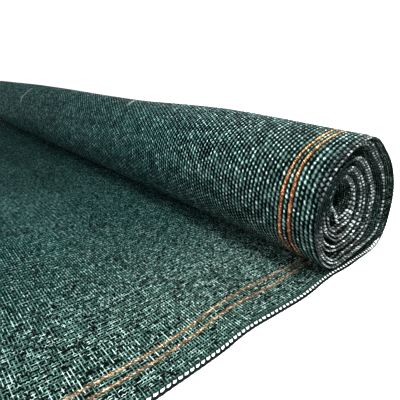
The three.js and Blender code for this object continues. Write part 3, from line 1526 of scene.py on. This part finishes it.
@dataclass
class InnerWinding:
    """The fine turns inside the roll: beads near both ends, and plain cloth where nothing shows."""

    surface: NetSurface
    start: float
    band: int = 10

    def build(self) -> bpy.types.Object:
        """Makes the winding's mesh.

        Returns:
            The new object.
        """
        knit = self.surface.knit
        half = knit.course / 2
        first, last = round(self.start / half), int(self.surface.line.length / half)
        rows = np.arange(first, last + 1) * half
        coarse_rows = np.linspace(rows[0], rows[-1], 340)
        near = rim_wales(self.band)
        far = (knit.wales - near)[::-1]
        plain = np.linspace(self.band + 4, knit.wales - self.band - 4, 9)
        faces = []
        for face, seed in ((Face.INNER, 7), (Face.OUTER, 8)):
            relief = BeadRelief(self.surface, face, 0.55, 0.34, 0.1, seed=seed)
            hidden = flat_face(0.3 * face.value)
            faces.append([
                Patch(rows, near, relief, 0.5, strips=8, lengthwise=True, stray=0.08),
                Patch(coarse_rows, plain, hidden, 0.1, strips=2, lengthwise=True),
                Patch(rows, far, relief, 0.4, strips=8, lengthwise=True, stray=0.08),
            ])
        return Sheet(self.surface, seed=31).build("net_winding", *faces)

    def size(self) -> tuple[float, float]:
        """The winding's flat width and length, in metres."""
        return (self.surface.knit.width * MM, (self.surface.line.length - self.start) * MM)


@dataclass
class Selvage:
    """The open ladder of an edge: a beaded cord, and rungs from it to the first wale.

    The cord's radius is flat_cord_radius on the ground and cord_radius in the roll. chain_radius is
    that of the chain on the first wale. A rung leans by slant courses. Each tube has so many sides.
    In the bake map cap_room is the share of a rung's cell that its end caps take, and rungs_across
    rungs lie side by side.
    """

    surface: NetSurface
    edge: Edge
    cord_radius: float = 0.6
    flat_cord_radius: float = 0.85
    chain_radius: float = 0.62
    rung_radius: float = 0.6
    slant: float = 0.5
    sides: int = 5
    cap_room: float = 0.14
    rungs_across: int = 30

    def _tube(
        self,
        mesh: ClothMesh,
        along: np.ndarray,
        wale: np.ndarray,
        radius: np.ndarray,
        shelf: Shelf,
        grid: tuple[int, int],
    ) -> None:
        """Adds tubes, one for each row of points.

        Args:
            mesh: Where to add them.
            along: Distance along the net of each point of each tube.
            wale: The wale of each point.
            radius: The tube's radius at each point.
            shelf: Where they lie in the bake map.
            grid: How many tubes lie side by side there, and how many on each other.
        """
        knit = self.surface.knit
        runs, steps = along.shape
        ahead = np.gradient(along, axis=1)
        aside = np.gradient(wale, axis=1) * knit.pitch
        reach = np.hypot(ahead, aside)
        angle = np.arange(self.sides) * 2 * np.pi / self.sides
        out, up = np.cos(angle), np.sin(angle)
        ring_along = along[..., None] - (aside / reach * radius)[..., None] * out
        ring_wale = wale[..., None] + (ahead / reach * radius)[..., None] * out / knit.pitch
        numbers = mesh.add_points(ring_along, ring_wale, radius[..., None] * up)
        around = np.roll(numbers, -1, axis=2)
        rings = [numbers[:, :-1], around[:, :-1], around[:, 1:], numbers[:, 1:]]
        corners = np.stack(rings, axis=-1).reshape(-1, 4)
        run = np.repeat(np.arange(runs), (steps - 1) * self.sides)
        step = np.tile(np.repeat(np.arange(steps - 1), self.sides), runs)
        side = np.tile(np.arange(self.sides), runs * (steps - 1))
        body = 1 - self.cap_room / (1 if steps == 3 else 16)
        share = np.stack([step, step, step + 1, step + 1], axis=-1) / (steps - 1) * body
        height = np.stack([side, side + 1, side + 1, side], axis=-1) / self.sides
        columns, rows = grid

        def spread(number: np.ndarray, share: np.ndarray, height: np.ndarray) -> np.ndarray:
            """Map places from a tube's number and the shares of its own cell."""
            across = ((number % columns)[:, None] + 0.01 + 0.98 * share) / columns
            return shelf.spread(across, ((number // columns)[:, None] + 0.05 + 0.9 * height) / rows)

        mesh.add_faces(corners, spread(run, share, height), False)
        cap_share = (1 + body) / 2 + 0.4 * (1 - body) * out
        for end, turned, middle in ((0, False, 0.27), (-1, True, 0.77)):
            cap = (cap_share, middle + 0.2 * up)
            places = [np.broadcast_to(each, (runs, self.sides)) for each in cap]
            mesh.add_faces(numbers[:, end], spread(np.arange(runs), *places), turned)

    def build(self) -> bpy.types.Object:
        """Makes the ladder's mesh.

        Returns:
            The new object.
        """
        knit, line = self.surface.knit, self.surface.line
        mesh = ClothMesh(self.surface)
        outermost, inwards = (0.0, 1.0) if self.edge is Edge.NEAR else (float(knit.wales), -1.0)
        rungs = int(line.length / knit.course) - 1
        random = np.random.default_rng(41 + self.edge.value)
        half = np.arange(1, 2 * rungs + 1) * knit.course / 2
        odd = np.arange(len(half)) % 2 == 1
        scallop = inwards * 0.07 * np.where(odd, 1.0, -1.0)
        along = np.stack([half, half])
        wale = np.stack([outermost + scallop, outermost + inwards - scallop])
        flat = 1 - smoothstep(line.turns_at(half), 0.0, 0.12)
        cord = self.cord_radius + (self.flat_cord_radius - self.cord_radius) * flat
        chain = self.chain_radius * (1 - 0.6 * self.surface.closed(half))
        radius = np.stack([cord, chain]) * np.where(odd, 1.14, 0.86)
        self._tube(mesh, along, wale, radius, Shelf(0.0, 0.4, strips=8), (1, 2))
        foot = np.arange(1, rungs + 1) * knit.course
        thick = self.rung_radius * (1 - 0.5 * self.surface.closed(foot))
        shares = np.array([0.0, 0.5, 1.0])
        ladders = (
            (0.0, 1.02, self.slant, Shelf(0.4, 0.7)),
            (1.0, 0.75, -0.3 * self.slant, Shelf(0.7, 1.0)),
        )
        for inner, reach, slant, shelf in ladders:
            lean = slant * (1 + random.normal(0, 0.2, rungs))
            along = foot[:, None] + lean[:, None] * knit.course * shares[None, :]
            wale = outermost + inwards * (inner + reach * shares[None, :]) + np.zeros_like(along)
            radius = thick[:, None] * np.array([1.15, 0.85, 1.15])[None, :]
            rows = -(-rungs // self.rungs_across)
            self._tube(mesh, along, wale, radius, shelf, (self.rungs_across, rows))
        piece = mesh.finish(f"selvage_{self.edge.name.lower()}")
        crown = piece.data.attributes.new(CROWN_HIGHLIGHT, "FLOAT", "POINT")
        crown.data.foreach_set("value", self._crown_highlight(np.vstack(mesh.knit)).astype(np.float32))
        return piece

    def _crown_highlight(self, places: np.ndarray) -> np.ndarray:
        """How bright the painted highlight on the tops of the stitches is, by where light catches
        the
        winding: at the bottom of each turn, over the back of the inner turns and along the open top
        of the outer turn, less on the rungs and next to none on the flat stretch.

        Args:
            places: The wale and course of each point.

        Returns:
            From 0 for none to 1 for all.
        """
        wale, course = places[:, 0], places[:, 1]
        knit = self.surface.knit
        turns = self.surface.line.turns_at(course * knit.course)
        phase = np.mod(turns, 1.0)
        low = 1 - smoothstep(np.minimum(phase, 1 - phase), 0.12, 0.24)
        top = self.surface.open_top(turns)
        back = smoothstep(phase, 0.1, 0.2) * (1 - smoothstep(phase, 0.52, 0.62))
        # Painted highlight where light catches the winding's end, with less of it on the rungs.
        outermost = np.maximum(0.008 + 0.4 * low * smoothstep(turns, 0.02, 0.1), 0.36 * top)
        wound = np.maximum(0.012 + 0.55 * back, 0.68 * low)
        highlight_share = np.where(turns < 1, outermost, wound)
        rung = smoothstep(np.minimum(wale, knit.wales - wale), 0.2, 0.45)
        rung_dimming = np.where(turns < 1, 0.75 - 0.3 * top, 0.75 + 0.15 * back)
        return np.where(turns <= 0, 0.005, highlight_share * (1 - rung * rung_dimming))


# ---- The studio --------------------------------------------------------------------------------


@dataclass(frozen=True)
class Lamp:
    """A square soft light that points at a place, in metres and watts."""

    name: str
    place: tuple[float, float, float]
    aim: tuple[float, float, float]
    size: float
    power: float

    def add(self) -> None:
        """Puts the light in the scene."""
        bpy.ops.object.light_add(type="AREA", location=self.place)
        lamp = bpy.context.object
        lamp.name = self.name
        lamp.data.size = self.size
        lamp.data.energy = self.power
        lamp.visible_camera = False
        away = Vector(self.place) - Vector(self.aim)
        lamp.rotation_euler = away.to_track_quat("Z", "Y").to_euler()


LAMPS = (
    Lamp("key_light", (0.62, 0.0, 0.4), (0.4, -0.05, 0.0), 0.15, 4.5),
    Lamp("back_light", (0.3, 0.68, 0.6), (0.3, -0.05, 0.0), 0.3, 5.0),
    Lamp("front_light", (0.5, -0.3, 0.28), (0.4, -0.1, 0.0), 0.15, 1.5),
    Lamp("far_light", (-0.45, 0.55, 0.6), (-0.3, 0.0, 0.05), 0.3, 6.0),
    Lamp("left_light", (-0.4, -0.45, 0.35), (-0.25, -0.06, 0.0), 0.2, 1.7),
)


@dataclass
class Studio:
    """The plain floor, the soft light and the camera at the photo's angle.

    The surroundings go from horizon to overhead brightness between the two numbers of rises, which
    are parts of the way up. The camera itself sees at least the horizon's brightness everywhere.
    """

    camera_place: tuple[float, float, float] = (0.59597, -0.11247, 0.13868)
    camera_turn: tuple[float, float, float] = (1.2130075, -0.0196892, 0.8535308)
    lens: float = 31.0266
    sensor: float = 36
    sees_from: float = 0.01
    sees_to: float = 200
    floor_size: float = 60.0
    horizon: float = 1.05
    overhead: float = 0.1
    rises: tuple[float, float] = (0.19, 0.28)

    def camera(self) -> None:
        """Places the camera and makes it the scene's."""
        bpy.ops.object.camera_add(location=self.camera_place, rotation=self.camera_turn)
        camera = bpy.context.object
        camera.name = "camera"
        camera.data.lens = self.lens
        camera.data.sensor_width = self.sensor
        camera.data.clip_start = self.sees_from
        camera.data.clip_end = self.sees_to
        bpy.context.scene.camera = camera

    def floor(self) -> None:
        """Makes the floor."""
        bpy.ops.mesh.primitive_plane_add(size=self.floor_size, location=(0, 0, 0))
        floor = bpy.context.object
        floor.name = "studio_floor"
        floor.data.materials.append(FloorFinish().material())

    def light(self) -> None:
        """Sets the surroundings, pale at the horizon and dimmer overhead, and the soft lights."""
        w = Wiring(bpy.data.worlds.new("studio_world"))
        way = w.node("ShaderNodeTexCoord").outputs["Generated"]
        upward = w.fed("ShaderNodeSeparateXYZ", way).outputs[2]
        strength = w.ease(upward, *self.rises, self.horizon, self.overhead)
        by_camera = w.node("ShaderNodeLightPath").outputs["Is Camera Ray"]
        seen = w.math("MULTIPLY", by_camera, self.horizon)
        white = (1.0, 1.0, 1.0, 1.0)
        background = w.fed("ShaderNodeBackground", white, w.math("MAXIMUM", strength, seen))
        bpy.context.scene.world = w.output(background, "ShaderNodeOutputWorld")
        bpy.context.scene.view_settings.view_transform = "Standard"
        for lamp in LAMPS:
            lamp.add()


# ---- Putting it together -----------------------------------------------------------------------


def deselect() -> None:
    """Leaves nothing selected."""
    for each in bpy.context.selected_objects:
        each.select_set(False)


def net_faces(line: NetLine, knit: Knit) -> list[bpy.types.Material]:
    """Makes the materials of the net's two faces.

    Args:
        line: The middle line in the section.
        knit: The stitches' sizes.

    Returns:
        The inner face's material and the outer face's.
    """
    inner = KnitFinish(
        "net_inner_face",
        Face.INNER,
        glint=screen_colour(144, 166, 160),
        yarn=screen_colour(68, 100, 92),
        deep_yarn=screen_colour(52, 113, 109),
        shade=screen_colour(3, 26, 25),
        marker=screen_colour(176, 146, 112),
        marker_shade=screen_colour(44, 32, 22),
        marker_highlight=screen_colour(210, 190, 166),
        marker_half=0.36,
        far_highlight=0.65,
        highlight_inside=0.95,
        edge_lift=1.6,
        pores=0.95,
        grain=3.2,
        rippled=0.18,
        sparkle=1.0,
        wound_shade=0.5,
    )
    outer = KnitFinish(
        "net_outer_face",
        Face.OUTER,
        glint=screen_colour(144, 164, 160),
        yarn=screen_colour(90, 114, 109),
        deep_yarn=screen_colour(66, 110, 108),
        shade=screen_colour(10, 38, 36),
        marker=screen_colour(188, 122, 80),
        marker_shade=screen_colour(58, 30, 22),
        marker_highlight=screen_colour(240, 200, 158),
        marker_lit_top=screen_colour(232, 196, 122),
        marker_half=0.42,
        lit_top_courses=tuple(line.along_at(turns) / knit.course for turns in (0.6, 0.74)),
        crease_highlights=((186.0, 146.0, 158.5, -0.35), (86.0, 141.0, 147.5, -0.6)),
        far_highlight=0.55,
        grain=3.7,
        sparkle=1.5,
        brightest=2.0,
    )
    return [inner.material(knit), outer.material(knit)]


def main() -> None:
    """Builds the studio and the net, and reports each piece."""
    logging.basicConfig(level=logging.INFO, format="%(message)s")
    deselect()
    studio = Studio()
    studio.camera()
    studio.floor()
    studio.light()

    knit, line = Knit(), NetLine()
    low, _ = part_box(NODE)
    surface = NetSurface(line, knit, low[1] / MM - FREE_END_Y)
    log.info("net: %.0f mm long, %.2f mm between wales", line.length, knit.pitch)
    faces = net_faces(line, knit)
    cord = CordFinish().material(knit)

    ground = GroundStretch(surface)
    turn_start = int(ground.end / (knit.course / 2)) * knit.course / 2
    near_turn, far_turn = (OuterTurn(surface, edge, turn_start) for edge in Edge)
    winding = InnerWinding(surface, line.along_at(near_turn.end_turns))

    for edge in Edge:
        piece = Selvage(surface, edge).build()
        declare(piece, [cord])
        log.info("%s: %d faces", piece.name, len(piece.data.polygons))
    for part in (ground, near_turn, far_turn, winding):
        piece = part.build()
        declare(piece, faces)
        part.size()
        triangles = sum(len(face.vertices) - 2 for face in piece.data.polygons)
        log.info("%s: %d triangles", piece.name, triangles)
    bpy.context.view_layer.update()


if __name__ == "__main__":
    main()
